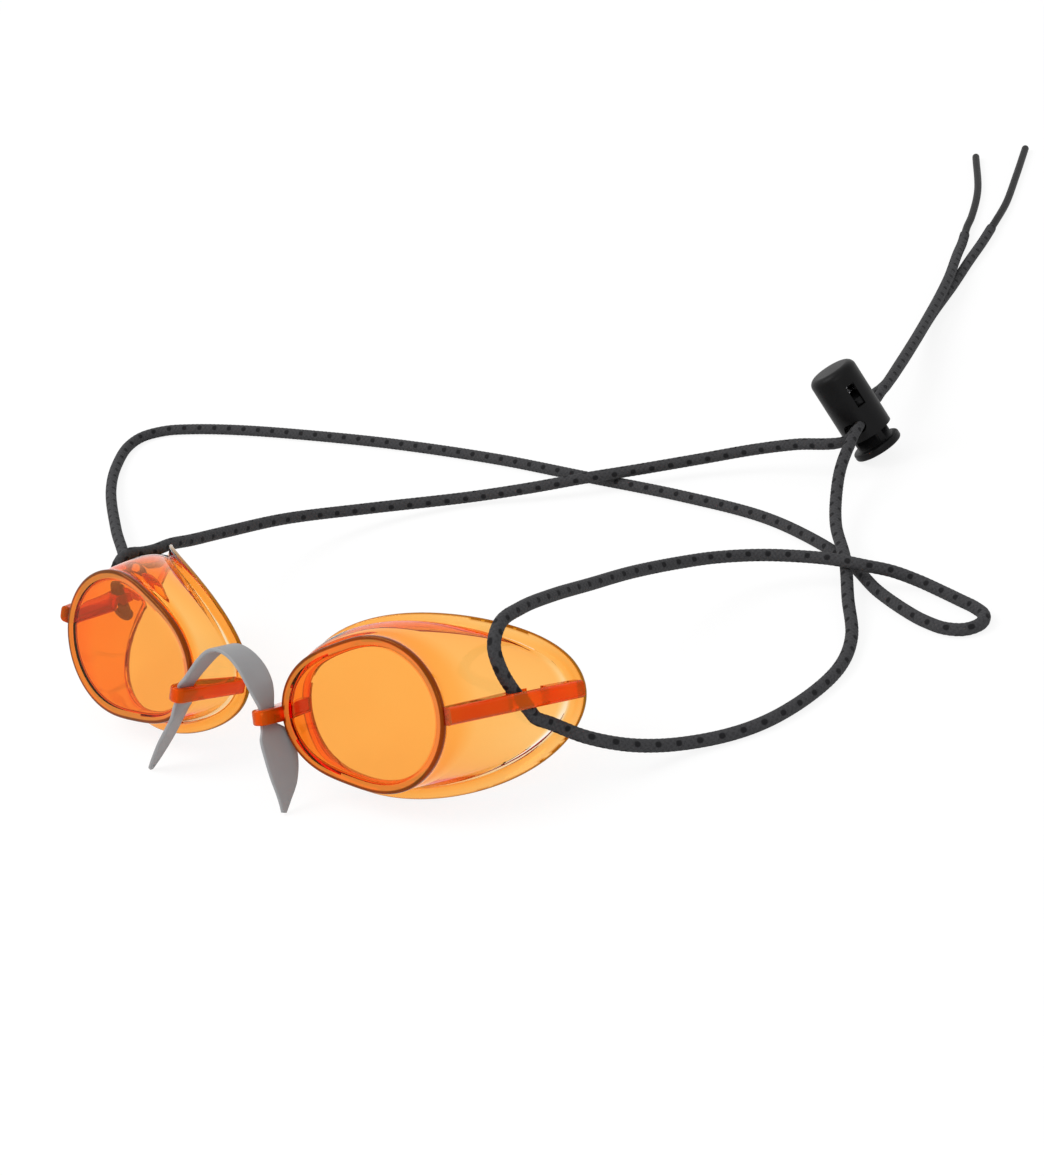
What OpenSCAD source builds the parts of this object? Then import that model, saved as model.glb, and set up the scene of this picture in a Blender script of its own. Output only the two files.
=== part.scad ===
// Swedish swimming goggles: two hard eyecups, a nose strap, one elastic cord and a barrel cord lock.
// Row frame in mm: +X across the goggles, +Y from the windows back to the head, +Z up.
// The origin is under the middle of the cups and strap, on the surface that they stand on.

/* [Stance] */
// Half the distance between the two window centres
eye_half_spacing = 36.6; // [34:0.1:40]
// How far each cup turns its window outward, in degrees
cup_turn = 3.4; // [0:0.1:8]
// How far each cup lifts its temple end, in degrees
cup_roll = 10.3; // [6:0.1:14]
// How far the cups lean back on their rims and strap tails, in degrees
cup_pitch = 18; // [10:0.5:22]
// How far the row origin lies behind the window centres
origin_back = 12.7; // [12:0.1:17]

/* [Window] */
// Mean radius of the flat window
window_radius = 18.5; // [16:0.1:21]
// How much longer than tall the window is, as a radius change
window_oval = 2.8; // [1:0.1:4]
// How much the window's nose end narrows
window_point = 0.8; // [0:0.1:1.5]
// How much the window's corners fill out
window_square = 0.25; // [0:0.05:0.6]
// Thickness of the window plate
window_thickness = 1.6; // [1.2:0.1:2.4]
// Width of the raised bead round the window
bead_width = 1.3; // [0.8:0.1:1.6]
// How far the window plate lies behind the bead's crest
bead_height = 0.35; // [0.2:0.05:0.6]
// How far the bead stands out from the wall
bead_out = 0.5; // [0.2:0.05:0.7]

/* [Eyecup wall and rim] */
// Wall thickness of the cup
wall = 1.5; // [1.2:0.1:2]
// How far the temple wall curves inward between window and rim
wall_sag = 1.2; // [0.8:0.1:1.4]
// How far the brow wall curves outward between window and rim
wall_bulge = 2.4; // [0:0.1:3]
// Width of the flared flange on the face side
flange_width = 2.6; // [2:0.1:3.5]
// Extra flange width at the top, over the brow
brow_flare = 0.3; // [0:0.1:1]
// Thickness of the flange
flange_thickness = 1.2; // [1:0.1:1.6]
// Rim across: mean, then cosine and sine parts of one, two and three waves round the rim
rim_across = [2.3, 30.1, 3.9, 0.1, -1, 0.3, -1.4]; // [-5:0.1:35]
// Rim height, in the same parts
rim_up = [-0.5, -2, 19.3, -0.2, 0.3, 0.8, 0.3]; // [-5:0.1:25]
// Rim depth behind the window, in the same parts
rim_back = [18.9, 10.4, 4, 4.9, 2.2, 0, 0]; // [-5:0.1:25]

/* [Temple rib] */
// Height of the temple rib
rib_height = 3.8; // [3:0.1:4.5]
// How far the rib stands out from the window's edge at its front end
rib_front_out = 2.9; // [2:0.1:3.2]
// Angle of the rib outward from straight back, in degrees
rib_angle = 16.6; // [14:0.1:20]
// Thickness of the bar outside the cord slot
slot_bar = 1.2; // [1:0.1:1.6]
// Width of the cord slot
slot_width = 3.1; // [3:0.1:3.6]
// Length of the cord slot
slot_length = 9.6; // [8:0.1:11]
// Depth of the slot's middle behind the window
slot_back = 19.9; // [17:0.1:22]

/* [Nose lug] */
// Height of the nose lug
lug_height = 3.3; // [3:0.1:5]
// Half the width of the lug across
lug_half_width = 2.1; // [2:0.1:2.8]
// Middle of the strap slot across, from the window centre toward the nose
lug_across = 24.5; // [23:0.1:26]
// Middle of the strap slot ahead of the window
lug_ahead = 2.6; // [1:0.1:4]
// Clearance of the strap in its slot, each side
strap_clearance = 0.3; // [0.2:0.05:0.5]

/* [Nose strap] */
// Thickness of the strap
strap_thickness = 0.9; // [0.8:0.1:1.4]
// Width of the strap over the nose
strap_width = 6.9; // [6:0.1:8]
// Width of the strap in the lugs
strap_neck = 4.4; // [4:0.1:6]
// Width of the tails just below the lugs
strap_shoulder = 8; // [7:0.1:9]
// Width of each tail at its tip
tail_tip = 1.2; // [0.8:0.1:2]
// Height of the arch's middle above the lugs' middle
arch_height = 12.5; // [11:0.1:14]

/* [Cord] */
// Diameter of the elastic cord
cord_diameter = 2.8; // [2.4:0.1:3.2]
// Diameter of the smooth tip on each cord end
tip_diameter = 2.1; // [1.8:0.1:2.6]

/* [Cord lock] */
// Outer diameter of the barrel
barrel_diameter = 12.6; // [10:0.1:14]
// Height of the barrel's top above the lock's foot, along the lock
lock_length = 24; // [22:0.1:28]
// Height of the barrel's mouth above the foot
barrel_mouth = 5.2; // [4:0.1:7]
// Bore of the barrel
barrel_bore = 9.6; // [8:0.1:10]
// Thickness of the barrel's closed end
barrel_roof = 2; // [1.6:0.1:3]
// Running clearance of the plunger in the bore, on the radius
plunger_clearance = 0.08; // [0.03:0.01:0.1]
// Diameter of the plunger's foot
foot_diameter = 12.8; // [11:0.1:15]
// Thickness of the plunger's foot
foot_thickness = 2; // [1.8:0.1:3]
// Height of the cord hole's middle above the foot
hole_height = 8.9; // [8:0.1:12]
// How far the plunger travels
plunger_travel = 2.2; // [1.6:0.1:2.5]
// Height of the plunger's top above the foot
plunger_top = 15.6; // [15:0.1:18]
// Wire diameter of the lock's spring
spring_wire = 0.7; // [0.5:0.05:0.9]
// Mean diameter of the spring's curls
spring_diameter = 7.2; // [6:0.1:8]
// Curls of the spring
spring_curls = 4; // [3:1:6]
// Lean of the lock from upright, in degrees
lock_lean = 26.3; // [0:0.1:30]
// Direction of the cord through the lock, turned from straight back, in degrees
lock_turn = 18; // [0:0.1:30]
// Place of the cord hole's middle on the floor plan
lock_place = [39.1, 170.8]; // [-50:0.5:200]

/* [Hidden] */
$fn = 64;
round_steps = 64;
cord_r = cord_diameter / 2;

function mix(a, b, s) = a * (1 - s) + b * s;
function unit(v) = v / norm(v);
function wave(h, t) = h[0] + h[1] * cos(t) + h[2] * sin(t) + h[3] * cos(2 * t) + h[4] * sin(2 * t)
    + h[5] * cos(3 * t) + h[6] * sin(3 * t);

// Outlines of the window and of the rim, seen from the front, at an angle from the temple
function window_at(t) = (window_radius + window_oval * cos(2 * t) - window_point * cos(3 * t)
    + window_square * cos(4 * t)) * [cos(t), sin(t)];
function rim_at(t) = [wave(rim_across, t), wave(rim_up, t)];
function rim_out(t) = let (d = rim_at(t + 1) - rim_at(t - 1)) unit([d[1], -d[0]]);
function window_out(t) = let (d = window_at(t + 1) - window_at(t - 1)) unit([d[1], -d[0]]);
function flare(t) = flange_width + brow_flare * max(0, sin(t));
function root_at(t) = rim_at(t) - flare(t) * rim_out(t);

// A point of the cup: a share of the way from window to rim, an offset outward and one backward
function cup_point(t, s, out, back) =
    let (n = unit(mix(window_out(t), rim_out(t), s)),
         curve = wall_bulge * max(0, sin(t)) - wall_sag * pow(max(0, cos(t)), 3),
         p = mix(window_at(t), root_at(t), s) + n * (out + curve * sin(180 * s)))
    [p[0], wave(rim_back, t) * s + back, p[1]];

// The cup's section, from the window's front face out along the wall, round the flange and back inside
section = [[0, -bead_width - 0.4, bead_height], [0, -bead_width, 0], [0, bead_out - 0.5, 0],
           [0, bead_out, 0.5], [0, bead_out, 1.3], [0, bead_out / 2, 1.8], [0.2, 0, 0], [0.4, 0, 0], [0.6, 0, 0], [0.8, 0, 0], [1, 0, -flange_thickness - 1], [1, 0.9, -flange_thickness - 0.2],
           [1, 9, -flange_thickness], [1, 9.1, -flange_thickness / 2], [1, 8.8, 0],
           [1, 0.1, 0], [1, -wall + 0.5, -0.7], [1, -wall, -2.2], [0.7, -wall, 0], [0.4, -wall, 0],
           [0, -wall - 0.2, window_thickness + 1], [0, -wall - 0.9, window_thickness + bead_height]];

// Offsets of 8 and more count from the flange's edge instead of its root
function section_out(q, t) = q[1] > 8 ? flare(t) + q[1] - 9 : q[1];

function to_goggles(p) =
    let (a = [p[0] * cos(cup_roll) - p[2] * sin(cup_roll), p[1],
              p[0] * sin(cup_roll) + p[2] * cos(cup_roll)],
         b = [a[0] * cos(cup_turn) - a[1] * sin(cup_turn), a[0] * sin(cup_turn) + a[1] * cos(cup_turn), a[2]])
    b + [eye_half_spacing, 0, 0];
function leaned_z(p) = p[2] * cos(cup_pitch) - p[1] * sin(cup_pitch);
lift = -min([for (i = [0:round_steps - 1], q = section)
             let (t = i * 360 / round_steps)
             leaned_z(to_goggles(cup_point(t, q[0], section_out(q, t), q[2])))]);
echo(lift = lift);

module leaned() {
    translate([0, -origin_back, lift]) rotate([-cup_pitch, 0, 0]) children();
}
module right_cup_place() {
    leaned() translate([eye_half_spacing, 0, 0]) rotate([0, 0, cup_turn]) rotate([0, -cup_roll, 0]) children();
}

// One closed skin through rings of equal count, with flat end caps
module rings_solid(rings) {
    n = len(rings[0]);
    m = len(rings);
    pts = [for (r = rings, p = r) p];
    sides = [for (k = [0:m - 2], i = [0:n - 1])
             let (j = (i + 1) % n)
             each [[k * n + i, k * n + n + j, k * n + j], [k * n + i, k * n + n + i, k * n + n + j]]];
    start = [for (i = [0:n - 1]) i];
    end = [for (i = [n - 1:-1:0]) (m - 1) * n + i];
    polyhedron(points = pts, faces = concat(sides, [start, end]), convexity = 8);
}

module cup_shell() {
    rings_solid([for (q = section) [for (i = [0:round_steps - 1])
        let (t = -i * 360 / round_steps) cup_point(t, q[0], section_out(q, t), q[2])]]);
}

// Temple rib: a round-edged bar on the temple wall, with the cord slot between bar and wall
rib_root = window_at(0)[0] + rib_front_out;
rib_plan = [[19.9, 0.6], [rib_root + 0.2, -0.2], [40, 32.4], [30, 33], [24.2, slot_back], [21.6, 8]];

module temple_rib() {
    edge = 1.1;
    intersection() {
        translate([rib_root, 0, 0]) rotate([0, 0, -rib_angle]) translate([0, -1, 0])
            rotate([-90, 0, 0]) linear_extrude(height = 38) {
                translate([-9, -rib_height / 2]) square([9 - edge, rib_height]);
                translate([-edge - 0.1, edge - rib_height / 2]) square([edge + 0.1, rib_height - 2 * edge]);
                translate([-edge, rib_height / 2 - edge]) circle(r = edge);
                translate([-edge, edge - rib_height / 2]) circle(r = edge);
            }
        translate([0, 0, -4]) linear_extrude(height = 8) polygon(rib_plan);
    }
}

module cord_slot() {
    translate([rib_root, 0, 0]) rotate([0, 0, -rib_angle])
        translate([-slot_bar - slot_width, slot_back / cos(rib_angle) - slot_length / 2, -6])
            cube([slot_width, slot_length, 12]);
}

// Nose lug: a round-ended loop ahead of the window's nose edge, and the rib that carries it to the rim
module nose_lug() {
    translate([0, 0, -lug_height / 2]) linear_extrude(height = lug_height) difference() {
        union() {
            translate([-lug_across, -lug_ahead - 1.5]) circle(r = lug_half_width);
            polygon([[-lug_across - lug_half_width, -lug_ahead - 1.5],
                     [-lug_across + lug_half_width, -lug_ahead - 1.5],
                     [-lug_across + lug_half_width + 0.5, 1.4], [-24.4, 12], [-27.5, 12.4],
                     [-lug_across - lug_half_width - 0.1, 1]]);
        }
        translate([-lug_across - strap_thickness / 2 - strap_clearance,
                   -lug_ahead - strap_neck / 2 - strap_clearance])
            square([strap_thickness + 2 * strap_clearance, strap_neck + 2 * strap_clearance]);
    }
}

module eyecup() {
    cup_shell();
    difference() {
        temple_rib();
        cord_slot();
    }
    nose_lug();
}

module eyecup_right() {
    color([1, 0.45, 0.05]) right_cup_place() eyecup();
}

module eyecup_left() {
    color([1, 0.45, 0.05]) mirror([1, 0, 0]) right_cup_place() eyecup();
}

// Nose strap: one soft band through both lugs, its tails bent down to the floor.
// Each station holds a place in the goggles' frame, the band's width and the turn of its rear edge to the right.
lug_centre = to_goggles([-lug_across, -lug_ahead, 0]);
function lug_station(side, run) =
    [side * (lug_centre[0] - run * sin(cup_roll)), lug_centre[1], lug_centre[2] + run * cos(cup_roll),
     strap_neck, -side * cup_turn];
arch_z = lug_centre[2] + arch_height;
strap_stations = [
    [-23, -4.1, -23.75, tail_tip, -10], [-21, -4.1, -20.6, 3.6, -16], [-18.2, -4.1, -16, 6.4, -18],
    [-15.6, -4, -11.6, 7.6, -16], [-14, -4, -8.8, strap_shoulder, -8], lug_station(-1, -1.9),
    lug_station(-1, 0), lug_station(-1, 1.8), [-10.5, -4, -0.4, 5.2, -6], [-8.4, -4, 2, 6.2, -9],
    [-5.7, -4, 4.9, strap_width, -7], [-2.8, -4, 7.2, strap_width, -3], [0.4, -4, arch_z, strap_width, 0],
    [4, -4, 7.4, strap_width, 4], [7.4, -4, 5.3, strap_width, 9], [9.9, -4, 2.5, 6.4, 14],
    [11.3, -4, 0, 5.6, 8], lug_station(1, 1.8), lug_station(1, 0), lug_station(1, -1.9),
    [15, -3.8, -8.9, 7, 0], [16.9, -3.6, -12.4, strap_shoulder, 0], [18.3, -3.9, -17.3, 6, 0],
    [19, -4.5, -21.3, 3, 0], [19.4, -5, -24.05, tail_tip, 0]];
strap_steps = 3;
function clamped(k) = max(0, min(len(strap_stations) - 1, k));
function strap_at(k, s) =
    let (a = strap_stations[clamped(k - 1)], b = strap_stations[k], c = strap_stations[clamped(k + 1)],
         d = strap_stations[clamped(k + 2)])
    b + s / 2 * (c - a + s * (2 * a - 5 * b + 4 * c - d + s * (3 * (b - c) + d - a)));
strap_line = [for (k = [0:len(strap_stations) - 2], i = [0:strap_steps - 1]) strap_at(k, i / strap_steps),
              strap_stations[len(strap_stations) - 1]];
function place_of(q) = [q[0], q[1], q[2]];
function strap_ring(k) =
    let (q = strap_line[k], m = len(strap_line) - 1,
         along = unit(place_of(strap_line[min(m, k + 1)]) - place_of(strap_line[max(0, k - 1)])),
         turned = [sin(q[4]), cos(q[4]), 0],
         across = unit(turned - (turned * along) * along),
         thick = cross(along, across))
    [for (c = [[-1, -1], [1, -1], [1, 1], [-1, 1]])
        place_of(q) + c[0] * q[3] / 2 * across + c[1] * strap_thickness / 2 * thick];

module nose_strap() {
    color([0.55, 0.55, 0.56]) leaned() rings_solid([for (k = [0:len(strap_line) - 1]) strap_ring(k)]);
}

// Where the cord passes through each slot, from the cup's own frame to the row frame
function to_row(p) =
    let (q = to_goggles(p))
    [q[0], q[1] * cos(cup_pitch) + q[2] * sin(cup_pitch) - origin_back, leaned_z(q) + lift];
slot_top = to_row([25.9, 17.4, 3]);
slot_low = to_row([27.4, 21.4, -3]);
slot_up = unit(slot_top - slot_low);
slot_middle = mix(slot_low, slot_top, 0.66);
function flip(p) = [-p[0], p[1], p[2]];

// The lock's frame: place of its foot, and a point on the cord hole's axis
foot_round = 0.6;
foot_z = (foot_diameter / 2 - foot_round) * sin(lock_lean) - foot_round * cos(lock_lean) + foot_round;
lock_across = [cos(lock_turn), sin(lock_turn), 0];
lock_along = [-sin(lock_turn), cos(lock_turn), 0];
lock_up = -sin(lock_lean) * lock_across + [0, 0, cos(lock_lean)];
lock_side = cos(lock_lean) * lock_across + [0, 0, sin(lock_lean)];
hole_middle = [lock_place[0], lock_place[1], foot_z + hole_height * cos(lock_lean)];
foot_place = hole_middle - hole_height * lock_up;
cord_gap = 0.06;
function in_hole(side, run) = hole_middle + side * (cord_r + cord_gap / 2) * lock_side + run * lock_along;
echo(hole_middle = hole_middle, lock_along = lock_along, lock_up = lock_up, foot = foot_place);

// Routes of the cord, in order from the viewer's left cup
loop_route = concat([flip(slot_middle), flip(slot_low), flip(slot_low - 1.6 * slot_up)],
    [[-66.2, 12.9, 12.4], [-70.5, 15.3, 11], [-76, 18.8, 9.8], [-86, 27.3, 8], [-100, 41.8, 6], [-121, 57.8, 4],
     [-145, 77.8, 2.4], [-158, 91.8, 1.5], [-165.2, 103.3, 1.4], [-166, 109.8, 1.4], [-162.3, 115.1, 1.4],
     [-155, 118.8, 1.4], [-140, 123.3, 1.4], [-113, 128.3, 1.4], [-86, 131.8, 1.4], [-52, 133.8, 1.4],
     [-23, 133.3, 1.4], [8, 132.8, 1.4], [35, 130.3, 1.4], [53, 124.8, 1.4], [70, 116.8, 1.4],
     [83.7, 107.3, 1.4], [96.6, 100.7, 1.4], [102, 98.7, 1.4], [107.5, 97.7, 1.4], [111.8, 99, 1.4],
     [113.6, 102.5, 1.4], [112.2, 106.3, 1.4], [108.4, 108.7, 1.4], [104, 110.3, 1.4], [97.6, 112.3, 1.6],
     [90.8, 113.5, 2.4], [84.9, 112.1, 4.4], [79.2, 109.3, 6.2], [72, 107.6, 7.2], [63, 105.5, 7.4],
     [55.7, 101.1, 8.4], [49.6, 93.3, 10.4], [46.5, 83.3, 13.2], [45.3, 68.3, 17.8], [46.8, 51.8, 23],
     [50.3, 35.3, 29], [54, 21.3, 33.6], [56.5, 11.8, 35.2], [59, 6.3, 33], [60.2, 5.6, 29]],
    [slot_top, slot_low]);
left_route = concat([flip(slot_middle), flip(slot_middle + 1.2 * slot_up)],
    [[-60.3, 7.8, 25.2], [-60.1, 8.6, 27.6], [-60.1, 10.9, 29.2], [-60.3, 13.7, 29], [-60.6, 16.9, 27.6],
     [-61.2, 21.3, 26.1], [-62.2, 27.3, 24.7], [-64.3, 35.3, 21.6], [-68, 50.3, 16.3], [-69, 71.3, 10], [-61, 91.1, 5],
     [-43, 111.3, 2.2], [-29.3, 119.3, 3.4], [-17.8, 127.3, 4.4], [-7.2, 137.3, 4.2], [5, 146.8, 4.8], [17.8, 153.3, 6.6],
     [29, 155.9, 8.6]],
    [in_hole(-1, -12), in_hole(-1, 7)]);
right_route = concat([slot_low, slot_low - 1.6 * slot_up],
    [[65, 12.7, 12.8], [67.8, 13.7, 11.5], [72, 14.2, 10.6], [76, 17.3, 8.4], [79.5, 22.8, 5.4],
     [83.8, 30.6, 2.6], [90, 39.8, 1.4], [94.3, 48.3, 1.4], [96.4, 61.5, 1.4], [95.3, 74.1, 1.4],
     [90.3, 86.3, 1.6], [81.5, 98.6, 3.2], [71.2, 113.3, 4.3], [59.5, 127.3, 4.8], [52, 139.3, 6.6],
     [48, 147.8, 9]],
    [in_hole(1, -12), in_hole(1, 7)]);
tail_left_route = [in_hole(1, 7), in_hole(1, 16), [33.4, 192.4, 10.9], [28.2, 206.6, 9.9],
    [21.3, 224.2, 8.2], [13.5, 243, 6.2], [6.9, 259.7, 5.2], [0.6, 275.3, 4.7], [-8, 293.8, 3.7],
    [-15.2, 308.3, 1.4], [-18, 314.3, 1.4]];
tail_right_route = [in_hole(-1, 7), in_hole(-1, 16), [31.4, 191.5, 8.9], [29.3, 198.3, 7.9], [23.9, 213.3, 6.6],
    [17, 230.3, 4.6], [7.2, 254.9, 2.1], [0.2, 277.8, 1.4], [-5, 294.8, 1.4], [-9.5, 310.3, 1.4],
    [-13, 321.3, 1.4]];
tip_left_route = [[-18, 314.3, 1.4], [-20.8, 320.3, 1.4], [-24.6, 329.3, 1.15], [-35, 350.3, 1.05], [-53, 379.3, 1.05]];
tip_right_route = [[-13, 321.3, 1.4], [-14.75, 326.8, 1.4], [-20.2, 342.3, 1.1], [-30, 365.3, 1.05], [-41, 390.3, 1.05]];

// A tube of 8 flat sides through route points; its rings are carried along the route without a twist
function route_direction(p, k) =
    k == 0 ? unit(p[1] - p[0]) : k == len(p) - 1 ? unit(p[k] - p[k - 1])
    : unit(unit(p[k] - p[k - 1]) + unit(p[k + 1] - p[k]));
function carried(p, k, sides) =
    k == len(p) ? sides
    : let (d = route_direction(p, k), last = k == 0 ? cross(d, [0.1, 0.2, 1]) : sides[k - 1])
      carried(p, k + 1, concat(sides, [unit(last - (last * d) * d)]));
module tube(route, radius) {
    sides = carried(route, 0, []);
    rings_solid([for (k = [0:len(route) - 1])
        let (up = cross(route_direction(route, k), sides[k]))
        [for (a = [0:7]) route[k] + radius * (cos(a * 45 + 22.5) * sides[k] + sin(a * 45 + 22.5) * up)]]);
}

module cord_loop() {
    color([0.25, 0.25, 0.26]) tube(loop_route, cord_r);
}

module cord_left() {
    color([0.25, 0.25, 0.26]) tube(left_route, cord_r);
}

module cord_right() {
    color([0.25, 0.25, 0.26]) tube(right_route, cord_r);
}

module cord_tail_left() {
    color([0.25, 0.25, 0.26]) tube(tail_left_route, cord_r);
}

module cord_tail_right() {
    color([0.25, 0.25, 0.26]) tube(tail_right_route, cord_r);
}

module cord_tip_left() {
    color([0.08, 0.08, 0.08]) tube(tip_left_route, tip_diameter / 2);
}

module cord_tip_right() {
    color([0.08, 0.08, 0.08]) tube(tip_right_route, tip_diameter / 2);
}

// Cord lock, modelled upright on its foot with the cord hole along Y
hole_half_width = cord_diameter + cord_gap / 2 + 0.25;
hole_half_height = cord_r + 0.2;
window_low = 13.2;
window_high = 19.3;
window_width = 2.4;
window_azimuth = -44;

module lock_place_up() {
    translate(foot_place) rotate([0, 0, lock_turn]) rotate([0, -lock_lean, 0]) children();
}

// A hole along Y with round corners as large as the cord, as wide as two cords side by side
module cord_hole(low, high, reach) {
    r = hole_half_height;
    tall = high - low > 2 * r + 0.1;
    translate([0, reach, 0]) rotate([90, 0, 0]) linear_extrude(height = 2 * reach) {
        translate([-hole_half_width + r, low]) square([2 * (hole_half_width - r), high - low]);
        if (tall) translate([-hole_half_width, low + r]) square([2 * hole_half_width, high - low - 2 * r]);
        for (side = [-1, 1], z = tall ? [low + r, high - r] : [low + r])
            translate([side * (hole_half_width - r), z]) circle(r = r);
    }
}

module lock_barrel() {
    r = barrel_diameter / 2;
    crown = 2;
    color([0.09, 0.09, 0.1]) lock_place_up() difference() {
        union() {
            translate([0, 0, barrel_mouth]) cylinder(r = r, h = lock_length - crown - barrel_mouth);
            rotate_extrude() intersection() {
                translate([r - crown, lock_length - crown]) circle(r = crown);
                translate([0, lock_length - crown - 1]) square([r, crown + 1]);
            }
            translate([0, 0, lock_length - crown - 0.5]) cylinder(r = r - crown, h = crown + 0.5);
        }
        translate([0, 0, barrel_mouth - 1])
            cylinder(d = barrel_bore, h = lock_length - barrel_roof - barrel_mouth + 1);
        cord_hole(hole_height - hole_half_height, hole_height + hole_half_height, 8);
        rotate([0, 0, window_azimuth]) translate([3, -window_width / 2, window_low])
            cube([6, window_width, window_high - window_low]);
    }
}

module lock_plunger() {
    r = barrel_bore / 2 - plunger_clearance;
    hole_top = hole_height + hole_half_height;
    color([0.08, 0.08, 0.09]) lock_place_up() difference() {
        union() {
            cylinder(r = foot_diameter / 2 - foot_round, h = foot_thickness);
            rotate_extrude() translate([foot_diameter / 2 - foot_round, foot_round]) {
                circle(r = foot_round);
                translate([0, foot_thickness - 2 * foot_round]) circle(r = foot_round);
                translate([-0.4, 0]) square([0.4 + foot_round, foot_thickness - 2 * foot_round]);
            }
            translate([0, 0, foot_thickness - 0.5]) cylinder(r = r, h = plunger_top - foot_thickness + 0.5);
            rotate([0, 0, window_azimuth]) translate([r - 1, -window_width / 2 + 0.2, window_low + 0.3])
                cube([1.9, window_width - 0.4, 1.8]);
        }
        cord_hole(hole_height - cord_r - plunger_travel - 0.2, hole_top, 8);
    }
}

// The spring between plunger and barrel roof: one helix with flattened first and last curls left out
spring_low = plunger_top + 0.03;
spring_high = lock_length - barrel_roof - 0.03;
spring_rings = spring_curls * 8;
function spring_centre(k) =
    let (a = k * 360 / 8, rise = (spring_high - spring_low - spring_wire) / spring_rings)
    [spring_diameter / 2 * cos(a), spring_diameter / 2 * sin(a), spring_low + spring_wire / 2 + k * rise];
function spring_ring(k) =
    let (a = k * 360 / 8)
    [for (b = [5:-1:0]) spring_centre(k)
        + spring_wire / 2 * (cos(b * 60 + 30) * [cos(a), sin(a), 0] + sin(b * 60 + 30) * [0, 0, 1])];
echo(spring_gap = (spring_high - spring_low - spring_wire) / spring_curls - spring_wire);

module lock_spring() {
    color([0.6, 0.6, 0.62]) lock_place_up() rings_solid([for (k = [0:spring_rings]) spring_ring(k)]);
}

eyecup_left();
eyecup_right();
nose_strap();
cord_loop();
cord_left();
cord_right();
cord_tail_left();
cord_tail_right();
cord_tip_left();
cord_tip_right();
lock_barrel();
lock_plunger();
lock_spring();
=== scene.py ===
import math

import bmesh
import bpy
import numpy as np
from mathutils import Matrix, Vector


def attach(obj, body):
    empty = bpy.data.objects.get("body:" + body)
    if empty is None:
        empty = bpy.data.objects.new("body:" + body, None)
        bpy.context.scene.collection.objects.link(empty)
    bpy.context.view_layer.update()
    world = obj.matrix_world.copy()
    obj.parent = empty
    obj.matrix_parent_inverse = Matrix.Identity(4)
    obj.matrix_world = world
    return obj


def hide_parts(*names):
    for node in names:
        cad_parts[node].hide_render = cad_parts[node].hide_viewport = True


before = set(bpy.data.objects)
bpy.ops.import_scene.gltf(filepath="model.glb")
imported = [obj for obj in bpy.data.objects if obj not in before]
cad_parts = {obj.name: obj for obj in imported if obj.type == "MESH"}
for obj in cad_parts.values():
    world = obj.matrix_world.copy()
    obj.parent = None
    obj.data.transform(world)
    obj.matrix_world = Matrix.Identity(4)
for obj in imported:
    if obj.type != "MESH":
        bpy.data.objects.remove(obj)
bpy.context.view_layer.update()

# Camera and room
# The goggles were photographed from the wearer's left and from above, with a long lens, in a white room.
# The light is soft and plain, and the floor is a white board that keeps a faint shadow.
scene = bpy.context.scene
scene.view_settings.view_transform = "Standard"

# Lens, place and turn come from one fit of both cups, as mirror images, to the photograph.
camera_data = bpy.data.cameras.new("long lens")
camera_data.sensor_fit = "HORIZONTAL"
camera_data.sensor_width = 36
camera_data.lens = 94.66
camera_data.clip_start = 0.01
camera = bpy.data.objects.new("camera", camera_data)
scene.collection.objects.link(camera)
camera.matrix_world = Matrix((
    (0.76439, -0.17171, 0.62146, 0.41106),
    (0.62545, 0.43152, -0.65007, -0.35074),
    (-0.15655, 0.88561, 0.43725, 0.28883),
    (0, 0, 0, 1)))
scene.camera = camera


def seen_directly(tree):
    """1 for what the camera sees straight, in a gloss or through a clear piece, and 0 for the light that falls."""
    path = tree.nodes.new("ShaderNodeLightPath")
    gloss = tree.nodes.new("ShaderNodeMath")
    gloss.operation = "MAXIMUM"
    through = tree.nodes.new("ShaderNodeMath")
    through.operation = "MAXIMUM"
    tree.links.new(path.outputs["Is Camera Ray"], gloss.inputs[0])
    tree.links.new(path.outputs["Is Glossy Ray"], gloss.inputs[1])
    tree.links.new(gloss.outputs[0], through.inputs[0])
    tree.links.new(path.outputs["Is Transmission Ray"], through.inputs[1])
    return through.outputs[0]


# Seen directly the room is plain white, and it lights the goggles a little less.
room_light, room_white = 0.65, 1.0
world = bpy.data.worlds.new("white room")
world.use_nodes = True
scene.world = world
room = world.node_tree
room_strength = room.nodes.new("ShaderNodeMath")
room_strength.operation = "MULTIPLY_ADD"
room_strength.inputs[1].default_value = room_white - room_light
room_strength.inputs[2].default_value = room_light
room.links.new(seen_directly(room), room_strength.inputs[0])
room.links.new(room_strength.outputs[0], room.nodes["Background"].inputs["Strength"])
room.nodes["Background"].inputs["Color"].default_value = (1, 1, 1, 1)

lit_spot = Vector((0, 0.12, 0))
for name, place, size, power in (("window light", (-0.7, -0.5, 1.1), 0.9, 9),
                                 ("camera side light", (0.9, -0.9, 0.7), 0.6, 3)):
    lamp = bpy.data.lights.new(name, "AREA")
    lamp.shape = "DISK"
    lamp.size = size
    lamp.energy = power
    lamp_object = bpy.data.objects.new(name, lamp)
    scene.collection.objects.link(lamp_object)
    aim = lit_spot - Vector(place)
    lamp_object.location = place
    lamp_object.rotation_euler = aim.to_track_quat("-Z", "Y").to_euler()

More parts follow.
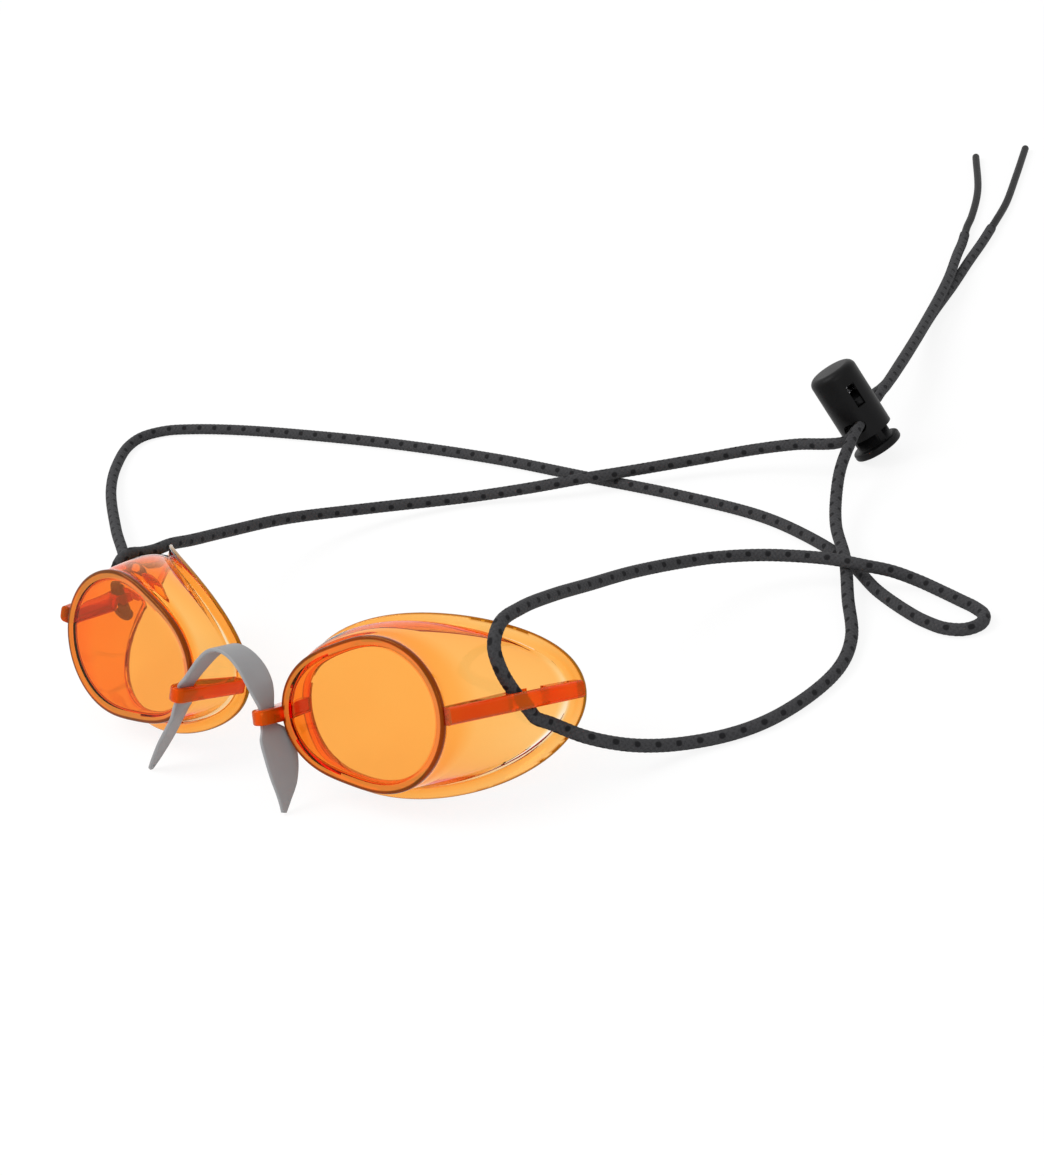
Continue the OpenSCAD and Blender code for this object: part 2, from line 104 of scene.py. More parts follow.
# The board lies a tenth of a millimetre under the floor. Seen directly it glows nearly to white and takes
# only a little of the light, so that its shadows stay faint.
board_reach, board_drop, board_grey, board_shade, board_glow = 3, 0.0001, 0.8, 0.16, 0.86
board_corners = [(x * board_reach, y * board_reach, -board_drop) for x, y in ((-1, -1), (1, -1), (1, 1), (-1, 1))]
board_mesh = bpy.data.meshes.new("white board")
board_mesh.from_pydata(board_corners, [], [(0, 1, 2, 3)])
board = bpy.data.objects.new("white_board", board_mesh)
scene.collection.objects.link(board)
board_paint = bpy.data.materials.new("white board")
board_paint.use_nodes = True
paint = board_paint.node_tree
paint.nodes.clear()
out = paint.nodes.new("ShaderNodeOutputMaterial")
plain = paint.nodes.new("ShaderNodeBsdfDiffuse")
plain.inputs["Color"].default_value = (board_grey, board_grey, board_grey, 1)
dim = paint.nodes.new("ShaderNodeBsdfDiffuse")
dim.inputs["Color"].default_value = (board_shade, board_shade, board_shade, 1)
glow = paint.nodes.new("ShaderNodeEmission")
glow.inputs["Strength"].default_value = board_glow
shown = paint.nodes.new("ShaderNodeAddShader")
either = paint.nodes.new("ShaderNodeMixShader")
paint.links.new(dim.outputs[0], shown.inputs[0])
paint.links.new(glow.outputs[0], shown.inputs[1])
paint.links.new(seen_directly(paint), either.inputs[0])
paint.links.new(plain.outputs[0], either.inputs[1])
paint.links.new(shown.outputs[0], either.inputs[2])
paint.links.new(either.outputs[0], out.inputs["Surface"])
board_mesh.materials.append(board_paint)


# Cord
# One elastic cord, 2.8 mm thick, a rubber core in a dark grey braid with black yarns that show as flecks.
# It runs from slot to slot as a loop, then from each slot through the lock, and lies on the floor behind.
# The braid stands out a little over the cord's own radius, and its relief is sunk into it.
cord_radius, braid_radius = 0.0014, 0.00149
crossing_length, braid_relief, yarns_round = 0.00135, 0.00003, 6
line_step, ring_step = 0.001, 0.0003
loop_route = [
    (-0.06125, 0.00832, 0.02085), (-0.06278, 0.00977, 0.01647), (-0.06328, 0.01025, 0.01503),
    (-0.0662, 0.0129, 0.0124), (-0.0705, 0.0153, 0.011), (-0.076, 0.0188, 0.0098), (-0.086, 0.0273, 0.008),
    (-0.1, 0.0418, 0.006), (-0.121, 0.0578, 0.004), (-0.145, 0.0778, 0.0024), (-0.158, 0.0918, 0.0015),
    (-0.1652, 0.1033, 0.0014), (-0.166, 0.1098, 0.0014), (-0.1623, 0.1151, 0.0014), (-0.155, 0.1188, 0.0014),
    (-0.14, 0.1233, 0.0014), (-0.113, 0.1283, 0.0014), (-0.086, 0.1318, 0.0014), (-0.052, 0.1338, 0.0014),
    (-0.023, 0.1333, 0.0014), (0.008, 0.1328, 0.0014), (0.035, 0.1303, 0.0014), (0.053, 0.1248, 0.0014),
    (0.07, 0.1168, 0.0014), (0.0837, 0.1073, 0.0014), (0.0966, 0.1007, 0.0014), (0.102, 0.0987, 0.0014),
    (0.1075, 0.0977, 0.0014), (0.1118, 0.099, 0.0014), (0.1136, 0.1025, 0.0014), (0.1122, 0.1063, 0.0014),
    (0.1084, 0.1087, 0.0014), (0.104, 0.1103, 0.0014), (0.0976, 0.1123, 0.0016), (0.0908, 0.1135, 0.0024),
    (0.0849, 0.1121, 0.0044), (0.0792, 0.1093, 0.0062), (0.072, 0.1076, 0.0072), (0.063, 0.1055, 0.0074),
    (0.0557, 0.1011, 0.0084), (0.0496, 0.0933, 0.0104), (0.0465, 0.0833, 0.0132), (0.0453, 0.0683, 0.0178),
    (0.0468, 0.0518, 0.023), (0.0503, 0.0353, 0.029), (0.054, 0.0213, 0.0336), (0.0565, 0.0118, 0.0352),
    (0.059, 0.0063, 0.033), (0.0602, 0.0056, 0.029), (0.06047, 0.00757, 0.02311), (0.06278, 0.00977, 0.01647)]
left_route = [
    (-0.06125, 0.00832, 0.02085), (-0.06088, 0.00796, 0.02194), (-0.0603, 0.0078, 0.0252),
    (-0.0601, 0.0086, 0.0276), (-0.0601, 0.0109, 0.0292), (-0.0603, 0.0137, 0.029), (-0.0606, 0.0169, 0.0276),
    (-0.0612, 0.0213, 0.0261), (-0.0622, 0.0273, 0.0247), (-0.0643, 0.0353, 0.0216), (-0.068, 0.0503, 0.0163),
    (-0.069, 0.0713, 0.01), (-0.061, 0.0911, 0.005), (-0.043, 0.1113, 0.0022), (-0.0293, 0.1193, 0.0034),
    (-0.0178, 0.1273, 0.0044), (-0.0072, 0.1373, 0.0042), (0.005, 0.1468, 0.0048), (0.0178, 0.1533, 0.0066),
    (0.029, 0.1559, 0.0086), (0.04159, 0.15899, 0.00998), (0.03572, 0.17706, 0.00998)]
right_route = [
    (0.06278, 0.00977, 0.01647), (0.06328, 0.01025, 0.01503), (0.065, 0.0127, 0.0128), (0.0678, 0.0137, 0.0115),
    (0.072, 0.0142, 0.0106), (0.076, 0.0173, 0.0084), (0.0795, 0.0228, 0.0054), (0.0838, 0.0306, 0.0026),
    (0.09, 0.0398, 0.0014), (0.0943, 0.0483, 0.0014), (0.0964, 0.0615, 0.0014), (0.0953, 0.0741, 0.0014),
    (0.0903, 0.0863, 0.0016), (0.0815, 0.0986, 0.0032), (0.0712, 0.1133, 0.0043), (0.0595, 0.1273, 0.0048),
    (0.052, 0.1393, 0.0066), (0.048, 0.1478, 0.009), (0.04403, 0.15978, 0.01124), (0.03816, 0.17785, 0.01124)]
left_tail_route = [
    (0.03816, 0.17785, 0.01124), (0.03537, 0.18641, 0.01124), (0.0334, 0.1924, 0.0109), (0.0282, 0.2066, 0.0099),
    (0.0213, 0.2242, 0.0082), (0.0135, 0.243, 0.0062), (0.0069, 0.2597, 0.0052), (0.0006, 0.2753, 0.0047),
    (-0.008, 0.2938, 0.0037), (-0.0152, 0.3083, 0.0014), (-0.018, 0.3143, 0.0014)]
right_tail_route = [
    (0.03572, 0.17706, 0.00998), (0.03294, 0.18562, 0.00998), (0.0314, 0.1915, 0.0089), (0.0293, 0.1983, 0.0079),
    (0.0239, 0.2133, 0.0066), (0.017, 0.2303, 0.0046), (0.0072, 0.2549, 0.0021), (0.0002, 0.2778, 0.0014),
    (-0.005, 0.2948, 0.0014), (-0.0095, 0.3103, 0.0014), (-0.013, 0.3213, 0.0014)]


def smooth_route(points, step):
    """A smooth line through the points, with the knots spaced so that it never swings wide of them."""
    p = [Vector(q) for q in points]
    p = [2 * p[0] - p[1]] + p + [2 * p[-1] - p[-2]]
    line = []
    for k in range(1, len(p) - 2):
        a, b, c, d = p[k - 1:k + 3]
        t1 = (b - a).length ** 0.5
        t2 = t1 + (c - b).length ** 0.5
        t3 = t2 + (d - c).length ** 0.5
        count = max(2, math.ceil((c - b).length / step))
        for i in range(count):
            t = t1 + (t2 - t1) * i / count
            ab = a * (1 - t / t1) + b * (t / t1)
            bc = b * ((t2 - t) / (t2 - t1)) + c * ((t - t1) / (t2 - t1))
            cd = c * ((t3 - t) / (t3 - t2)) + d * ((t - t2) / (t3 - t2))
            abc = ab * ((t2 - t) / t2) + bc * (t / t2)
            bcd = bc * ((t3 - t) / (t3 - t1)) + cd * ((t - t1) / (t3 - t1))
            line.append(abc * ((t2 - t) / (t2 - t1)) + bcd * ((t - t1) / (t2 - t1)))
    return line + [p[-2]]


# The tree sweeps a round section along a line and sinks it a little between the braid's crossings.
# It leaves the angle round the cord and the millimetres along it in an attribute for the yarns' colours.
braid = bpy.data.node_groups.new("braided cord", "GeometryNodeTree")
braid.interface.new_socket(name="Line", in_out="INPUT", socket_type="NodeSocketGeometry")
for name, kind, value in (("Radius", "NodeSocketFloat", cord_radius), ("Ring Step", "NodeSocketFloat", ring_step),
                          ("Sides", "NodeSocketInt", 32),
                          ("Crossing Length", "NodeSocketFloat", crossing_length),
                          ("Relief", "NodeSocketFloat", 0), ("Material", "NodeSocketMaterial", None)):
    socket = braid.interface.new_socket(name=name, in_out="INPUT", socket_type=kind)
    if value is not None:
        socket.default_value = value
braid.interface.new_socket(name="Geometry", in_out="OUTPUT", socket_type="NodeSocketGeometry")
given = braid.nodes.new("NodeGroupInput")
result = braid.nodes.new("NodeGroupOutput")


def sums(tree, operation, *values):
    """The result of a Math node on numbers or on other nodes' outputs."""
    made = tree.nodes.new("ShaderNodeMath")
    made.operation = operation
    for socket, value in zip(made.inputs, values):
        if isinstance(value, bpy.types.NodeSocket):
            tree.links.new(value, socket)
        else:
            socket.default_value = value
    return made.outputs[0]


rings = braid.nodes.new("GeometryNodeResampleCurve")
rings.mode = "LENGTH"
braid.links.new(given.outputs["Line"], rings.inputs["Curve"])
braid.links.new(given.outputs["Ring Step"], rings.inputs["Length"])
on_line = braid.nodes.new("GeometryNodeSplineParameter")
keep_along = braid.nodes.new("GeometryNodeCaptureAttribute")
keep_along.capture_items.new("FLOAT", "Along")
braid.links.new(rings.outputs["Curve"], keep_along.inputs["Geometry"])
braid.links.new(on_line.outputs["Length"], keep_along.inputs["Along"])
section = braid.nodes.new("GeometryNodeCurvePrimitiveCircle")
braid.links.new(given.outputs["Sides"], section.inputs["Resolution"])
braid.links.new(given.outputs["Radius"], section.inputs["Radius"])
keep_round = braid.nodes.new("GeometryNodeCaptureAttribute")
keep_round.capture_items.new("FLOAT", "Round")
on_section = braid.nodes.new("GeometryNodeSplineParameter")
braid.links.new(section.outputs["Curve"], keep_round.inputs["Geometry"])
braid.links.new(on_section.outputs["Factor"], keep_round.inputs["Round"])
sweep = braid.nodes.new("GeometryNodeCurveToMesh")
sweep.inputs["Fill Caps"].default_value = True
braid.links.new(keep_along.outputs["Geometry"], sweep.inputs["Curve"])
braid.links.new(keep_round.outputs["Geometry"], sweep.inputs["Profile Curve"])
width = braid.nodes.new("GeometryNodeInputRadius")
braid.links.new(width.outputs[0], sweep.inputs["Scale"])
angle = sums(braid, "MULTIPLY", keep_round.outputs["Round"], 2 * math.pi)
turns = sums(braid, "DIVIDE", keep_along.outputs["Along"], given.outputs["Crossing Length"])
crossing = sums(braid, "MULTIPLY", sums(braid, "COSINE", sums(braid, "MULTIPLY", turns, 2 * math.pi)),
                sums(braid, "COSINE", sums(braid, "MULTIPLY", angle, yarns_round)))
rise = sums(braid, "MULTIPLY", sums(braid, "SUBTRACT", crossing, 1), given.outputs["Relief"])
outward = braid.nodes.new("GeometryNodeInputNormal")
push = braid.nodes.new("ShaderNodeVectorMath")
push.operation = "SCALE"
braid.links.new(outward.outputs[0], push.inputs[0])
braid.links.new(rise, push.inputs["Scale"])
raised = braid.nodes.new("GeometryNodeSetPosition")
braid.links.new(sweep.outputs["Mesh"], raised.inputs["Geometry"])
braid.links.new(push.outputs["Vector"], raised.inputs["Offset"])
lay = braid.nodes.new("ShaderNodeCombineXYZ")
braid.links.new(sums(braid, "COSINE", angle), lay.inputs[0])
braid.links.new(sums(braid, "SINE", angle), lay.inputs[1])
braid.links.new(sums(braid, "MULTIPLY", keep_along.outputs["Along"], 1000), lay.inputs[2])
mark = braid.nodes.new("GeometryNodeStoreNamedAttribute")
mark.data_type = "FLOAT_VECTOR"
mark.domain = "POINT"
mark.inputs["Name"].default_value = "lay"
braid.links.new(raised.outputs["Geometry"], mark.inputs["Geometry"])
braid.links.new(lay.outputs[0], mark.inputs["Value"])
smoothed = braid.nodes.new("GeometryNodeSetShadeSmooth")
real = braid.nodes.new("GeometryNodeRealizeInstances")
dressed = braid.nodes.new("GeometryNodeSetMaterial")
braid.links.new(mark.outputs["Geometry"], smoothed.inputs["Geometry"])
braid.links.new(smoothed.outputs["Geometry"], real.inputs["Geometry"])
braid.links.new(real.outputs["Geometry"], dressed.inputs["Geometry"])
braid.links.new(given.outputs["Material"], dressed.inputs["Material"])
braid.links.new(dressed.outputs["Geometry"], result.inputs["Geometry"])


def swept(name, line, widths, **inputs):
    """A plain mesh object from the braided cord tree, along a line of points with a share of the radius at each."""
    curve = bpy.data.curves.new(name + " line", "CURVE")
    curve.dimensions = "3D"
    spline = curve.splines.new("POLY")
    spline.points.add(len(line) - 1)
    for k, p in enumerate(line):
        spline.points[k].co = (*p, 1)
        spline.points[k].radius = widths[k]
    carrier = bpy.data.objects.new(name + " line", curve)
    scene.collection.objects.link(carrier)
    modifier = carrier.modifiers.new("sweep", "NODES")
    modifier.node_group = braid
    for item in braid.interface.items_tree:
        key = item.name.lower().replace(" ", "_")
        if item.in_out == "INPUT" and key in inputs:
            modifier[item.identifier] = inputs[key]
    carrier.update_tag()
    bpy.context.view_layer.update()
    live = bpy.context.evaluated_depsgraph_get()
    mesh = bpy.data.meshes.new_from_object(
        carrier.evaluated_get(live), preserve_all_data_layers=True, depsgraph=live)
    carrier.modifiers.clear()
    bpy.data.objects.remove(carrier)
    bpy.data.curves.remove(curve)
    mesh.name = name
    piece = bpy.data.objects.new(name, mesh)
    scene.collection.objects.link(piece)
    return piece


def shader(name):
    """A new material with its node tree and its Principled shader."""
    material = bpy.data.materials.new(name)
    material.use_nodes = True
    tree = material.node_tree
    return material, tree, tree.nodes["Principled BSDF"]


def node(tree, kind, **values):
    """A node with its properties and inputs set, where an input is named with underscores for its spaces."""
    made = tree.nodes.new(kind)
    for key, value in values.items():
        if hasattr(made, key):
            setattr(made, key, value)
            continue
        socket = made.inputs[key.replace("_", " ")]
        if isinstance(value, bpy.types.NodeSocket):
            tree.links.new(value, socket)
        else:
            socket.default_value = value
    return made


def ramp(tree, value, low, high, dark, light):
    """A value between low and high becomes a colour between dark and light."""
    share = node(tree, "ShaderNodeMapRange", Value=value, From_Min=low, From_Max=high)
    mixed = node(tree, "ShaderNodeMix", data_type="RGBA")
    tree.links.new(share.outputs["Result"], mixed.inputs[0])
    # Inputs 6 and 7 and output 2 are a Mix node's colours.
    for socket, colour in ((mixed.inputs[6], dark), (mixed.inputs[7], light)):
        if isinstance(colour, bpy.types.NodeSocket):
            tree.links.new(colour, socket)
        else:
            socket.default_value = (*colour, 1)
    return mixed.outputs[2]


# The surface marks are a broad and a fine noise that every material here uses at scales of its own.
marks = bpy.data.node_groups.new("surface marks", "ShaderNodeTree")
for name, value in (("Broad Scale", 120), ("Broad Detail", 2), ("Fine Scale", 1500), ("Fine Detail", 4)):
    marks.interface.new_socket(name=name, in_out="INPUT", socket_type="NodeSocketFloat").default_value = value
mark_sizes = marks.nodes.new("NodeGroupInput")
for name in ("Broad", "Fine"):
    marks.interface.new_socket(name=name, in_out="OUTPUT", socket_type="NodeSocketFloat")
mark_place = node(marks, "ShaderNodeTexCoord")
mark_values = marks.nodes.new("NodeGroupOutput")
for name in ("Broad", "Fine"):
    noise = node(marks, "ShaderNodeTexNoise", Vector=mark_place.outputs["Object"],
                 Scale=mark_sizes.outputs[name + " Scale"], Detail=mark_sizes.outputs[name + " Detail"])
    marks.links.new(noise.outputs["Fac"], mark_values.inputs[name])

# Four rows of black flecks run along the cord, between the grey picks of the braid.
fleck_length, picks_to_a_fleck, fleck_rows = 4.9, 3.63, 4
yarn, tree, skin_shader = shader("dark grey braid")
lay_read = node(tree, "ShaderNodeAttribute", attribute_name="lay")
parts = node(tree, "ShaderNodeSeparateXYZ", Vector=lay_read.outputs["Vector"])
around = sums(tree, "ADD", sums(tree, "ARCTAN2", parts.outputs["Y"], parts.outputs["X"]), math.pi / 4)
along = sums(tree, "MULTIPLY", parts.outputs["Z"], 2 * math.pi / fleck_length)
picks = sums(tree, "MULTIPLY", sums(tree, "COSINE", sums(tree, "MULTIPLY", along, picks_to_a_fleck)),
             sums(tree, "COSINE", sums(tree, "MULTIPLY", around, yarns_round)))
flecks = sums(tree, "MULTIPLY", sums(tree, "COSINE", along),
              sums(tree, "COSINE", sums(tree, "MULTIPLY", around, fleck_rows / 2)))
fluff = node(tree, "ShaderNodeGroup", node_tree=marks, Fine_Scale=2600, Fine_Detail=3).outputs["Fine"]
grey = ramp(tree, picks, -0.6, 0.9, (0.028, 0.028, 0.030), (0.046, 0.046, 0.049))
grey = ramp(tree, fluff, 0.35, 0.75, grey, (0.056, 0.056, 0.059))
cloth = ramp(tree, flecks, 0.45, 0.75, grey, (0.005, 0.005, 0.006))
tree.links.new(cloth, skin_shader.inputs["Base Color"])
skin_shader.inputs["Roughness"].default_value = 0.85
skin_shader.inputs["Specular IOR Level"].default_value = 0.25
height = sums(tree, "MULTIPLY_ADD", fluff, 0.35, picks)
bump = node(tree, "ShaderNodeBump", Strength=0.5, Distance=0.00008, Height=height)
tree.links.new(bump.outputs["Normal"], skin_shader.inputs["Normal"])

# Inside its sleeve, at a tail's far end, the cord is pressed thinner and runs nearly to the sleeve's end.
# The lock presses it too: most under the plunger, less in the barrel, and it fills out again past the wall.
# The two counts are the line's steps from the lock's middle that lie under the plunger and in the barrel.
sleeve_share, plunger_share, barrel_share, share_regained = 0.55, 0.8, 0.86, 0.03
steps_near_lock, before_lock, past_lock = 24, (12, 18), (5, 9)
left_sleeve_route = [(-0.0208, 0.3203, 0.0014), (-0.0246, 0.3293, 0.00115), (-0.035, 0.3503, 0.00105),
                     (-0.053, 0.3793, 0.00105)]
right_sleeve_route = [(-0.01475, 0.3268, 0.0014), (-0.0202, 0.3423, 0.0011), (-0.03, 0.3653, 0.00105),
                      (-0.041, 0.3903, 0.00105)]


def lock_share(step, under_plunger, in_barrel):
    """The share of its full width that the cord keeps, this many steps from the middle of the lock."""
    if step < under_plunger:
        return plunger_share
    return min(1, max(barrel_share, barrel_share + share_regained * (step - in_barrel)))


for name, route, sleeved in (("cord_loop", loop_route, []), ("cord_left", left_route, []),
                             ("cord_right", right_route, []),
                             ("cord_tail_left", left_tail_route, left_sleeve_route),
                             ("cord_tail_right", right_tail_route, right_sleeve_route)):
    line = smooth_route(route, line_step)
    bare = len(line)
    if sleeved:
        line += smooth_route(route[-1:] + sleeved, line_step)[1:-3]
    widths = [1 if k < bare else sleeve_share for k in range(len(line))]
    for k in range(steps_near_lock):
        if name in ("cord_left", "cord_right"):
            widths[-1 - k] = lock_share(k, *before_lock)
        elif sleeved:
            widths[k] = lock_share(k, *past_lock)
    piece = swept("braided_" + name, line, widths, radius=braid_radius, ring_step=ring_step, sides=32,
                  crossing_length=crossing_length, relief=braid_relief, material=yarn)
    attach(piece, "goggles")
    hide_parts(name)


# Cord ends
# Each end of the cord is sealed in a smooth black plastic sleeve, shrunk on, a little thinner than the cord.
# The sleeve is swept on from the cord's own line, and its two ends are drawn in like rounded edges.
tip_radius, tip_line_step, open_end_start, far_end_start, end_square = 0.00114, 0.0001, 0.0006, 0.00002, 0.02

sleeve, tree, shine = shader("black shrunk sleeve")
grain = node(tree, "ShaderNodeGroup", node_tree=marks, Fine_Scale=900).outputs["Fine"]
tree.links.new(ramp(tree, grain, 0.3, 0.7, (0.003, 0.003, 0.0033), (0.007, 0.007, 0.0075)),
               shine.inputs["Base Color"])
tree.links.new(sums(tree, "MULTIPLY_ADD", grain, 0.2, 0.38), shine.inputs["Roughness"])
shine.inputs["Specular IOR Level"].default_value = 0.1
rub = node(tree, "ShaderNodeBump", Strength=0.25, Distance=0.00005, Height=grain)
tree.links.new(rub.outputs["Normal"], shine.inputs["Normal"])

for name, route in (("cord_tip_left", left_tail_route[-1:] + left_sleeve_route),
                    ("cord_tip_right", right_tail_route[-1:] + right_sleeve_route)):
    line = smooth_route(route, tip_line_step)
    run = [0.0]
    for a, b in zip(line, line[1:]):
        run.append(run[-1] + (b - a).length)
    widths = []
    for r in run:
        inside = min(r + open_end_start, run[-1] - r + far_end_start, tip_radius)
        widths.append(math.sqrt(max(end_square, 1 - (1 - inside / tip_radius) ** 2)))
    piece = swept("sleeved_" + name, line, widths, radius=tip_radius, ring_step=ring_step / 2, sides=24,
                  relief=0.0, material=sleeve)
    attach(piece, "goggles")
    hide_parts(name)


# Eyecups
# Each cup is one hard moulding of clear orange plastic: a flat oval window in a raised bead, a wall that
# widens back to the rim, a flared lip, a temple rib with the cord's slot, and a lug for the nose strap.
# The wall is a skin through rings that follow the part's formula, and rib and lug are joined on.
# Each cup turns its window outward and lifts its temple end, as it lies against the face. Standing on the
# board, the pair leans back by its pitch, and the lift sets its lowest rim on the floor. Sizes are millimetres.
eye_half_spacing = 36.6
cup_turn, cup_roll, cup_pitch = math.radians(3.4), math.radians(10.3), math.radians(18)
origin_back, lift = 12.7, 21.7243
window_radius, window_oval, window_point, window_square = 18.5, 2.8, 0.8, 0.25
# Window and wall are thinner on the inside than the part's, so that less light is led along in them.
window_thickness, bead_width, bead_height, bead_out = 1.2, 1.3, 0.35, 0.5
wall, wall_sag, wall_bulge = 1.0, 1.2, 2.4
flange_width, brow_flare, flange_thickness = 2.6, 0.3, 1.2
# The rim's place round the cup: its mean, then the cosine and the sine part of each of three waves.
rim_across = [2.3, 30.1, 3.9, 0.1, -1, 0.3, -1.4]
rim_up = [-0.5, -2, 19.3, -0.2, 0.3, 0.8, 0.3]
rim_back = [18.9, 10.4, 4, 4.9, 2.2, 0, 0]


def wave(h, t):
    """A value that changes round the cup, from its mean and its first three waves."""
    return (h[0] + h[1] * np.cos(t) + h[2] * np.sin(t) + h[3] * np.cos(2 * t) + h[4] * np.sin(2 * t)
            + h[5] * np.cos(3 * t) + h[6] * np.sin(3 * t))


def window_at(t):
    """The window's outline, across and up, at an angle."""
    r = (window_radius + window_oval * np.cos(2 * t) - window_point * np.cos(3 * t)
         + window_square * np.cos(4 * t))
    return np.stack([r * np.cos(t), r * np.sin(t)], -1)


def rim_at(t):
    """The rim's outline, across and up, at an angle."""
    return np.stack([wave(rim_across, t), wave(rim_up, t)], -1)


def unit(v):
    """The vectors at a length of one."""
    return v / np.linalg.norm(v, axis=-1, keepdims=True)


def outward_of(outline, t):
    """The direction straight out of an outline at an angle."""
    step = math.radians(1)
    d = outline(t + step) - outline(t - step)
    return unit(np.stack([d[..., 1], -d[..., 0]], -1))


def flare(t):
    """The lip's width, a little more along the brow."""
    return flange_width + brow_flare * np.maximum(0, np.sin(t))


def cup_point(t, s, out, back):
    """Points round the cup, a share s of the way from window to rim, offset outward and backward."""
    n = unit(outward_of(window_at, t) * (1 - s) + outward_of(rim_at, t) * s)
    curve = wall_bulge * np.maximum(0, np.sin(t)) - wall_sag * np.maximum(0, np.cos(t)) ** 3
    root = rim_at(t) - flare(t)[:, None] * outward_of(rim_at, t)
    p = window_at(t) * (1 - s) + root * s + n * (out + curve * math.sin(math.pi * s))[:, None]
    return np.stack([p[:, 0], wave(rim_back, t) * s + back, p[:, 1]], -1)


def rounded(profile):
    """The profile with its corners cut round, its two ends kept."""
    cut = [profile[0]]
    for a, b in zip(profile, profile[1:]):
        cut += [tuple(np.array(a) * 0.75 + np.array(b) * 0.25), tuple(np.array(a) * 0.25 + np.array(b) * 0.75)]
    return cut + [profile[-1]]


def to_goggles(p):
    """The right cup's own frame to the goggles' frame, both in millimetres."""
    x = p[..., 0] * math.cos(cup_roll) - p[..., 2] * math.sin(cup_roll)
    z = p[..., 0] * math.sin(cup_roll) + p[..., 2] * math.cos(cup_roll)
    y = p[..., 1]
    return np.stack([x * math.cos(cup_turn) - y * math.sin(cup_turn) + eye_half_spacing,
                     x * math.sin(cup_turn) + y * math.cos(cup_turn), z], -1)


def to_row(q):
    """The goggles' frame in millimetres to the frame of the whole part in metres."""
    y = q[..., 1] * math.cos(cup_pitch) + q[..., 2] * math.sin(cup_pitch) - origin_back
    z = q[..., 2] * math.cos(cup_pitch) - q[..., 1] * math.sin(cup_pitch) + lift
    return np.stack([q[..., 0], y, z], -1) / 1000


def closed_skin(name, rings, caps=True):
    """A closed mesh through rings of equal count, each end closed by narrowing rings and a middle point."""
    rings = [np.asarray(r, float) for r in rings]
    if caps:
        for end in (0, -1):
            middle = rings[end].mean(0)
            inner = [middle + (rings[end] - middle) * k for k in (0.93, 0.6, 0.25)]
            rings = inner[::-1] + rings if end == 0 else rings + inner
    n, m = len(rings[0]), len(rings)
    verts = np.concatenate(rings + [rings[0].mean(0)[None], rings[-1].mean(0)[None]])
    faces = []
    for k in range(m - 1):
        for i in range(n):
            j = (i + 1) % n
            faces.append((k * n + i, k * n + j, k * n + n + j, k * n + n + i))
    for i in range(n):
        j = (i + 1) % n
        faces.append((m * n, j, i))
        faces.append((m * n + 1, (m - 1) * n + i, (m - 1) * n + j))
    mesh = bpy.data.meshes.new(name)
    mesh.from_pydata([tuple(v) for v in verts], [], faces)
    return settled(name, mesh)


def settled(name, mesh):
    """The mesh as an object in the scene, closed and with its faces outward."""
    work = bmesh.new()
    work.from_mesh(mesh)
    bmesh.ops.remove_doubles(work, verts=work.verts, dist=1e-7)
    if work.calc_volume(signed=True) < 0:
        bmesh.ops.reverse_faces(work, faces=work.faces)
    work.to_mesh(mesh)
    work.free()
    made = bpy.data.objects.new(name, mesh)
    scene.collection.objects.link(made)
    return made


def prism(name, outline, low, high):
    """An upright block of a flat outline."""
    verts = [(x, y, z) for z in (low, high) for x, y in outline]
    n = len(outline)
    faces = [tuple(range(n))[::-1], tuple(range(n, 2 * n))]
    faces += [(i, (i + 1) % n, n + (i + 1) % n, n + i) for i in range(n)]
    mesh = bpy.data.meshes.new(name)
    mesh.from_pydata(verts, [], faces)
    return settled(name, mesh)


def made_plain(base):
    """Base with its modifier made part of its mesh."""
    bpy.context.view_layer.update()
    live = bpy.context.evaluated_depsgraph_get()
    mesh = bpy.data.meshes.new_from_object(base.evaluated_get(live), depsgraph=live)
    base.modifiers.clear()
    base.data = mesh
    return base


def cut_or_join(base, tool, operation):
    """Base with the tool joined, cut away or kept in common, as a plain mesh, and the tool taken away."""
    modifier = base.modifiers.new("shape", "BOOLEAN")
    modifier.operation = operation
    modifier.solver = "EXACT"
    modifier.material_mode = "TRANSFER"
    modifier.object = tool
    made_plain(base)
    bpy.data.objects.remove(tool)
    return base


def eased(base, width):
    """Base with its sharp edges rounded."""
    modifier = base.modifiers.new("edges", "BEVEL")
    modifier.width = width
    modifier.segments = 3
    modifier.limit_method = "ANGLE"
    modifier.angle_limit = math.radians(35)
    return made_plain(base)


